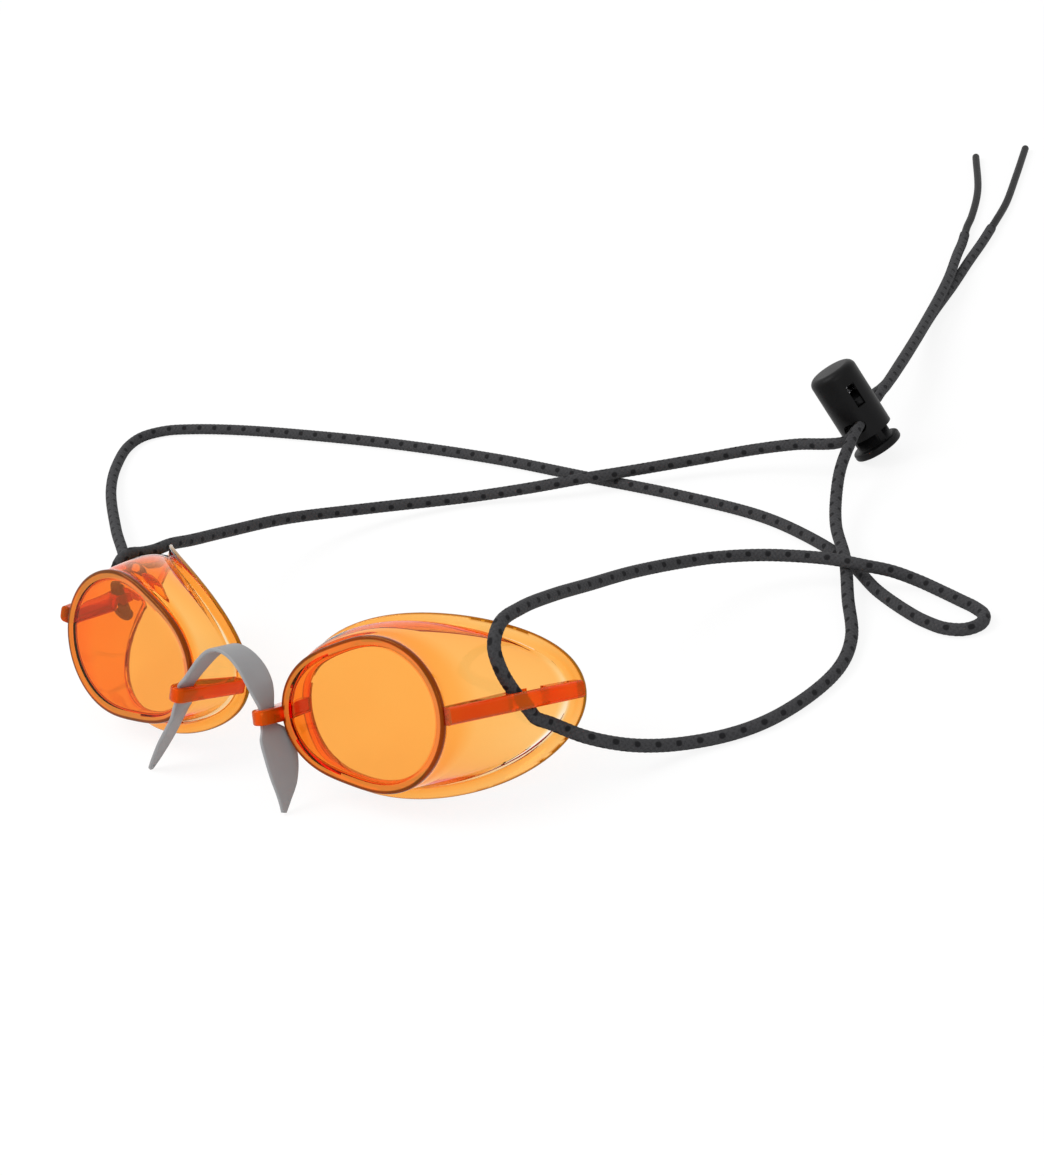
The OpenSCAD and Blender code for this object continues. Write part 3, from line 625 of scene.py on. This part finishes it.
# The plastic is one clear orange all through. Light leaves a thick or an edge-on part only after a long way,
# so rib and lug have a deeper and less clear finish, and so have the faces of bead, ring and lip, whose tones
# are written on the mesh. On bead and lip these tones are painted shade: dark lines in place of the dark edges
# that refraction gives the clear plastic.
def orange_plastic(name, pale, deep, clearness):
    """One finish of the plastic: its paler and deeper colour, and the share of light that goes through."""
    material, tree, shell = shader(name)
    signs = node(tree, "ShaderNodeGroup", node_tree=marks, Broad_Scale=120, Fine_Scale=1500)
    # The tone on the mesh is a plain tint on the ring and painted shade on bead and lip.
    tone_and_painted_shade = node(tree, "ShaderNodeAttribute", attribute_name="tone_and_painted_shade")
    body = ramp(tree, signs.outputs["Broad"], 0.3, 0.7, deep, pale)
    mixed = node(tree, "ShaderNodeMix", data_type="RGBA", blend_type="MULTIPLY")
    mixed.inputs[0].default_value = 1
    tree.links.new(body, mixed.inputs[6])
    tree.links.new(tone_and_painted_shade.outputs["Color"], mixed.inputs[7])
    tree.links.new(mixed.outputs[2], shell.inputs["Base Color"])
    tree.links.new(sums(tree, "MULTIPLY_ADD", signs.outputs["Fine"], 0.04, 0.005), shell.inputs["Roughness"])
    ripple = node(tree, "ShaderNodeBump", Strength=0.15, Distance=0.0001, Height=signs.outputs["Broad"])
    tree.links.new(ripple.outputs["Normal"], shell.inputs["Normal"])
    shell.inputs["IOR"].default_value = 1.4
    shell.inputs["Specular Tint"].default_value = (1, 0.5, 0.1, 1)
    shell.inputs["Transmission Weight"].default_value = clearness
    tint = node(tree, "ShaderNodeVolumeAbsorption", Color=(0.995, 0.685, 0.064, 1), Density=2000)
    tree.links.new(tint.outputs["Volume"], tree.nodes["Material Output"].inputs["Volume"])
    return material


clear_orange = orange_plastic("clear orange plastic", (1, 0.985, 0.96), (1, 0.965, 0.93), 1)
deep_orange = orange_plastic("clear orange plastic in depth", (1, 0.20, 0.008), (1, 0.15, 0.006), 0.65)
# The edge finish shows the mesh tone, which is painted shade on bead and lip.
edge_orange_with_painted_shade = orange_plastic("clear orange plastic on edge", (1, 1, 1), (0.9, 0.9, 0.9), 0.35)

# The section from the window's face over bead, wall and lip and back inside, as points of share from window
# to rim, outward and backward. On the lip, lip_edge stands for the end of its flare and lip_near for a
# millimetre short of it, and what lies between lip_root and lip_near is spread over the rest of its width.
lip_root, lip_near, lip_edge = 0.9, 8.0, 9
front = [(0, -bead_width - 1.6, bead_height), (0, -bead_width - 0.4, bead_height),
         (0, -bead_width + 0.5, 0.12), (0, -bead_width + 1.0, 0), (0, bead_out - 0.3, 0), (0, bead_out, 0.3),
         (0, bead_out, 1.1), (0, bead_out / 2, 1.7), (0.1, 0, 0.4)]
side = [(s / 20, 0, 0) for s in range(3, 19)] + [(0.95, 0, -0.6)]
lip = [(1, 0, -flange_thickness - 1), (1, 0.5, -flange_thickness - 0.35),
       (1, lip_root, -flange_thickness - 0.2), (1, lip_near, -flange_thickness),
       (1, lip_edge - 0.2, -flange_thickness), (1, lip_edge + 0.1, -flange_thickness / 2),
       (1, lip_edge - 0.1, 0), (1, lip_edge - 0.8, 0), (1, 0.3, 0), (1, -wall + 0.7, -0.5),
       (1, -wall + 0.1, -1.5), (1, -wall, -2.4)]
inside = [(s / 20, -wall, 0) for s in range(18, 5, -1)]
rear = [(0.06, -wall - 0.1, 1.6), (0, -wall - 0.2, window_thickness + 0.8),
        (0, -wall - 0.6, window_thickness + bead_height + 0.1),
        (0, -wall - 1.3, window_thickness + bead_height), (0, -wall - 2.2, window_thickness + bead_height)]
profile = rounded(front + side + lip + inside + rear)
steps_round_cup = 256
turn = np.arange(steps_round_cup) * 2 * math.pi / steps_round_cup
rings = []
for s, out, back in profile:
    distance = out
    if out > lip_near:
        distance = flare(turn) + out - lip_edge
    elif s == 1 and out > lip_root:
        distance = lip_root + (flare(turn) - 1 - lip_root) * (out - lip_root) / (lip_near - lip_root)
    rings.append(cup_point(turn, s, distance, back))
cup = closed_skin("eyecup", rings)
cup.data.materials.append(clear_orange)

# The rib is a bar with two rounded edges, cut to its plan, with the slot for the cord through its back half.
rib_angle = math.radians(16.6)
rib_root = window_radius + window_oval - window_point + window_square + 2.9
rib_height, rib_edge, slot_bar, slot_width, slot_length, slot_back = 3.8, 1.1, 1.2, 3.1, 9.6, 19.9
bar_depth, bar_start, bar_end, edge_steps = 9, -1, 37, 8
slot_edge, cutter_reach, slot_cutter_reach = 0.4, 4, 6


def beside_rib(x, y, z=0.0):
    """From across, along and above the rib to the cup's own frame."""
    return (rib_root + x * math.cos(rib_angle) + y * math.sin(rib_angle),
            y * math.cos(rib_angle) - x * math.sin(rib_angle), z)


bar_profile = [(-bar_depth, -rib_height / 2), (-bar_depth, rib_height / 2)]
for corner, start in ((1, 90), (-1, 0)):
    for k in range(edge_steps + 1):
        a = math.radians(start - k * 90 / edge_steps)
        bar_profile.append((-rib_edge + rib_edge * math.cos(a),
                            corner * (rib_height / 2 - rib_edge) + rib_edge * math.sin(a)))
bar_rings = [[beside_rib(x, y, z) for x, z in bar_profile] for y in (bar_start, bar_end)]
bar = closed_skin("rib", bar_rings, caps=False)
bar.data.materials.append(deep_orange)
rib_plan = [(20.4, 0.6), (rib_root + 0.2, -0.2), (40, 32.4), (30.5, 33), (24.7, slot_back), (22.1, 8)]
bar = cut_or_join(bar, prism("plan", rib_plan, -cutter_reach, cutter_reach), "INTERSECT")
slot_middle = slot_back / math.cos(rib_angle)
slot_near, slot_far = slot_middle - slot_length / 2, slot_middle + slot_length / 2
slot_corners = [beside_rib(x, y)[:2] for x, y in (
    (-slot_bar - slot_width, slot_near), (-slot_bar, slot_near),
    (-slot_bar, slot_far), (-slot_bar - slot_width, slot_far))]
slot = eased(prism("slot", slot_corners, -slot_cutter_reach, slot_cutter_reach), slot_edge)
bar = cut_or_join(bar, slot, "DIFFERENCE")
cup = cut_or_join(cup, bar, "UNION")

# The lug is a short tongue toward the nose, with an upright slot that the strap is pulled through.
lug_height, lug_half_width, lug_across, lug_ahead, lug_nose, lug_edge = 3.3, 2.1, 24.5, 2.6, 1.5, 0.45
strap_thickness, strap_neck, strap_clearance = 0.9, 4.4, 0.3
nose_steps = 24
lug_outline = []
for k in range(nose_steps + 1):
    a = math.radians(180 + k * 180 / nose_steps)
    lug_outline.append((-lug_across + lug_half_width * math.cos(a),
                        -lug_ahead - lug_nose + lug_half_width * math.sin(a)))
lug_outline += [(-lug_across + lug_half_width + 0.5, 1.4), (-24.4, 12), (-27.5, 12.4),
                (-lug_across - lug_half_width - 0.1, 1)]
lug = eased(prism("lug", lug_outline, -lug_height / 2, lug_height / 2), lug_edge)
lug.data.materials.append(deep_orange)
hole_across = strap_thickness / 2 + strap_clearance
hole_along = strap_neck / 2 + strap_clearance
hole_corners = [(-lug_across + x * hole_across, -lug_ahead + y * hole_along)
                for x, y in ((-1, -1), (1, -1), (1, 1), (-1, 1))]
lug = cut_or_join(lug, prism("hole", hole_corners, -cutter_reach, cutter_reach), "DIFFERENCE")
cup = cut_or_join(cup, lug, "UNION")

# Each face gets its finish from the piece that it came from, and on bead, ring and lip from its place: its
# millimetres out from the window's outline and back from its front, or from the lip's edge. Bead and lip take
# a painted shade, dark lines that stand in for the dark edges the clear plastic shows by refraction. The same
# cup is then set at the right and mirrored to the left.
cup_points = np.array([v.co for v in cup.data.vertices])
cup_faces = [tuple(p.vertices) for p in cup.data.polygons]
face_material = np.array([int(cup.data.materials[p.material_index] == deep_orange) for p in cup.data.polygons])
bpy.data.objects.remove(cup)

ring_from, bead_from, bead_to, lip_reach = -1.3, -0.3, 0.9, 0.5
ring_depth, bead_depth = 0.4, 0.75
# The ring's tone is a plain orange tint. The bead's and lip's tones are painted shade: dark edge lines in place of
# what refraction shows.
ring_tone, lip_painted_shade, bead_painted_shade = (1, 0.31, 0.045), (0.48, 0.22, 0.008), (0.22, 0.048, 0.002)
middles = np.array([cup_points[list(f)].mean(0) for f in cup_faces])
angle = np.arctan2(middles[:, 2], middles[:, 0])
from_outline = np.hypot(middles[:, 0], middles[:, 2]) - np.linalg.norm(window_at(angle), axis=1)
on_bead = (middles[:, 1] < bead_depth) & (from_outline > bead_from) & (from_outline < bead_to)
on_ring = (middles[:, 1] < ring_depth) & (from_outline > ring_from) & (from_outline <= bead_from)
fine_turn = np.arange(720) * math.pi / 360
lip_outline = rim_at(fine_turn)
lip_line = np.stack([lip_outline[:, 0], wave(rim_back, fine_turn) - flange_thickness / 2, lip_outline[:, 1]], -1)
on_lip = np.array([np.linalg.norm(lip_line - q, axis=1).min() < lip_reach for q in middles])
face_material[(on_ring | on_bead | on_lip) & (face_material == 0)] = 2
# The tones are written on the points. On bead and lip faces they are painted shade.
tone_and_painted_shade = np.ones((len(cup_points), 4))
for zone, colour in ((on_ring, ring_tone), (on_lip, lip_painted_shade), (on_bead, bead_painted_shade)):
    for f in np.nonzero(zone & (face_material == 2))[0]:
        tone_and_painted_shade[list(cup_faces[f]), :3] = colour
for side_name, mirror in (("right", 1), ("left", -1)):
    placed = to_row(to_goggles(cup_points)) * np.array([mirror, 1, 1])
    mesh = bpy.data.meshes.new("clear_eyecup_" + side_name)
    mesh.from_pydata([tuple(v) for v in placed], [], [f if mirror == 1 else f[::-1] for f in cup_faces])
    mesh.polygons.foreach_set("material_index", face_material)
    mesh.attributes.new("tone_and_painted_shade", "FLOAT_COLOR", "POINT").data.foreach_set("color", tone_and_painted_shade.ravel())
    piece = settled("clear_eyecup_" + side_name, mesh)
    mesh.shade_smooth()
    mesh.set_sharp_from_angle(angle=math.radians(38))
    for material in (clear_orange, deep_orange, edge_orange_with_painted_shade):
        mesh.materials.append(material)
    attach(piece, "goggles")
    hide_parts("eyecup_" + side_name)


# Nose strap
# One band of soft grey rubber, wide in the arch over the nose, pulled narrow through each lug, with a
# pointed tail that hangs in front. Its ends stand free, so the wearer can draw them tighter.
strap_width, strap_shoulder, tail_tip, arch_height, strap_edge = 6.9, 8, 1.2, 12.5, 0.32
steps_between_stations, corner_steps = 10, 5
lug_centre = to_goggles(np.array([-lug_across, -lug_ahead, 0.0]))


def lug_station(way, run):
    """The strap's station at a lug, on the right for way 1 and the left for -1, a run above its middle."""
    return (way * (lug_centre[0] - run * math.sin(cup_roll)), lug_centre[1],
            lug_centre[2] + run * math.cos(cup_roll), strap_neck, -way * math.degrees(cup_turn))


# Each station is a place on the band's middle line, the band's width there, and its turn about the upright.
strap_stations = np.array([
    (-23, -4.1, -23.75, tail_tip, -10), (-21, -4.1, -20.6, 3.6, -16), (-18.2, -4.1, -16, 6.4, -20),
    (-15.6, -4, -11.6, 7.4, -23), (-14, -4, -8.8, 7.4, -21), lug_station(-1, -1.9), lug_station(-1, 0),
    lug_station(-1, 1.8), (-10.5, -4, -0.4, 5.2, -6), (-8.4, -4, 2, 6.2, -9), (-5.7, -4, 4.9, strap_width, -7),
    (-2.8, -4, 7.2, strap_width, -3), (0.4, -4, lug_centre[2] + arch_height, strap_width, 0),
    (4, -4, 7.4, strap_width, 4), (7.4, -4, 5.3, strap_width, 9), (9.9, -4, 2.5, 6.4, 14), (11.3, -4, 0, 5.6, 8),
    lug_station(1, 1.8), lug_station(1, 0), lug_station(1, -1.9), (14.7, -3.8, -8.3, strap_shoulder, 5),
    (16.7, -3.6, -12.4, 8.4, 10), (18.2, -3.9, -17.3, 6.6, 10), (19, -4.5, -21.3, 3.4, 6),
    (19.4, -5, -24.05, tail_tip, 0)], float)
# The band follows a smooth curve through its stations. Its section has four rounded corners and a few more
# points along its two flat sides.
band = []
for k in range(len(strap_stations) - 1):
    a, b, c, d = [strap_stations[min(len(strap_stations) - 1, max(0, k + j))] for j in (-1, 0, 1, 2)]
    for i in range(steps_between_stations):
        s = i / steps_between_stations
        band.append(b + s / 2 * (c - a + s * (2 * a - 5 * b + 4 * c - d + s * (3 * (b - c) + d - a))))
band = np.array(band + [strap_stations[-1]])
band_rings = []
for k, q in enumerate(band):
    along = unit(band[min(len(band) - 1, k + 1), :3] - band[max(0, k - 1), :3])
    turned = np.array([math.sin(math.radians(q[4])), math.cos(math.radians(q[4])), 0])
    across = unit(turned - (turned @ along) * along)
    thick = np.cross(along, across)
    half, depth, edge = q[3] / 2, strap_thickness / 2, min(strap_edge, q[3] / 4)
    ring = []
    for cx, cz, start in ((1, 1, 0), (-1, 1, 90), (-1, -1, 180), (1, -1, 270)):
        for j in range(corner_steps):
            a = math.radians(start + j * 90 / (corner_steps - 1))
            ring.append(q[:3] + (cx * (half - edge) + edge * math.cos(a)) * across
                        + (cz * (depth - edge) + edge * math.sin(a)) * thick)
        if cx == cz:
            for w in (0.6, 0.2, -0.2, -0.6):
                ring.append(q[:3] + cx * w * (half - edge) * across + cz * depth * thick)
    band_rings.append(to_row(np.array(ring)))
strap = closed_skin("soft_nose_strap", band_rings)
strap.data.shade_smooth()
strap.data.set_sharp_from_angle(angle=math.radians(50))

soft_grey, tree, rubber = shader("soft grey rubber")
dust = node(tree, "ShaderNodeGroup", node_tree=marks, Broad_Scale=90, Fine_Scale=1800, Fine_Detail=5)
tree.links.new(ramp(tree, dust.outputs["Broad"], 0.3, 0.7, (0.29, 0.29, 0.297), (0.325, 0.325, 0.332)),
               rubber.inputs["Base Color"])
tree.links.new(sums(tree, "MULTIPLY_ADD", dust.outputs["Fine"], 0.15, 0.42), rubber.inputs["Roughness"])
pores = node(tree, "ShaderNodeBump", Strength=0.3, Distance=0.00004, Height=dust.outputs["Fine"])
tree.links.new(pores.outputs["Normal"], rubber.inputs["Normal"])
rubber.inputs["Subsurface Weight"].default_value = 0.15
rubber.inputs["Subsurface Radius"].default_value = (0.001, 0.001, 0.001)
strap.data.materials.append(soft_grey)
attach(strap, "goggles")
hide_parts("nose_strap")


# Cord lock
# A black moulded barrel slides on both cords. Its plunger is pushed up by hand against a spring of steel
# wire to let the cords run, and its foot is the round button below. All three keep the part's own shapes.
satin_black, tree, black = shader("satin black plastic")
smears = node(tree, "ShaderNodeGroup", node_tree=marks, Broad_Scale=150, Fine_Scale=2500)
tree.links.new(ramp(tree, smears.outputs["Broad"], 0.3, 0.7, (0.003, 0.003, 0.0033), (0.006, 0.006, 0.0065)),
               black.inputs["Base Color"])
tree.links.new(sums(tree, "MULTIPLY_ADD", smears.outputs["Broad"], 0.15, 0.33), black.inputs["Roughness"])
black.inputs["Specular IOR Level"].default_value = 0.12
texture = node(tree, "ShaderNodeBump", Strength=0.4, Distance=0.00006, Height=smears.outputs["Fine"])
tree.links.new(texture.outputs["Normal"], black.inputs["Normal"])

drawn_wire, tree, steel = shader("drawn steel wire")
lines = node(tree, "ShaderNodeGroup", node_tree=marks, Fine_Scale=4000, Fine_Detail=2).outputs["Fine"]
tree.links.new(ramp(tree, lines, 0.3, 0.7, (0.45, 0.45, 0.47), (0.62, 0.62, 0.64)), steel.inputs["Base Color"])
steel.inputs["Metallic"].default_value = 1
tree.links.new(sums(tree, "MULTIPLY_ADD", lines, 0.2, 0.2), steel.inputs["Roughness"])

for name, body, slot_name, material in (("lock_barrel", "lock", "lock_body", satin_black),
                                        ("lock_plunger", "plunger", "lock_button", satin_black),
                                        ("lock_spring", "lock", "spring_wire", drawn_wire)):
    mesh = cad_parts[name].data.copy()
    mesh.materials.clear()
    work = bmesh.new()
    work.from_mesh(mesh)
    bmesh.ops.remove_doubles(work, verts=work.verts, dist=1e-6)
    work.to_mesh(mesh)
    work.free()
    piece = bpy.data.objects.new("moulded_" + name, mesh)
    scene.collection.objects.link(piece)
    mesh.shade_smooth()
    mesh.set_sharp_from_angle(angle=math.radians(30))
    mesh.materials.append(material)
    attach(piece, body)
    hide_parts(name)

bpy.context.view_layer.update()
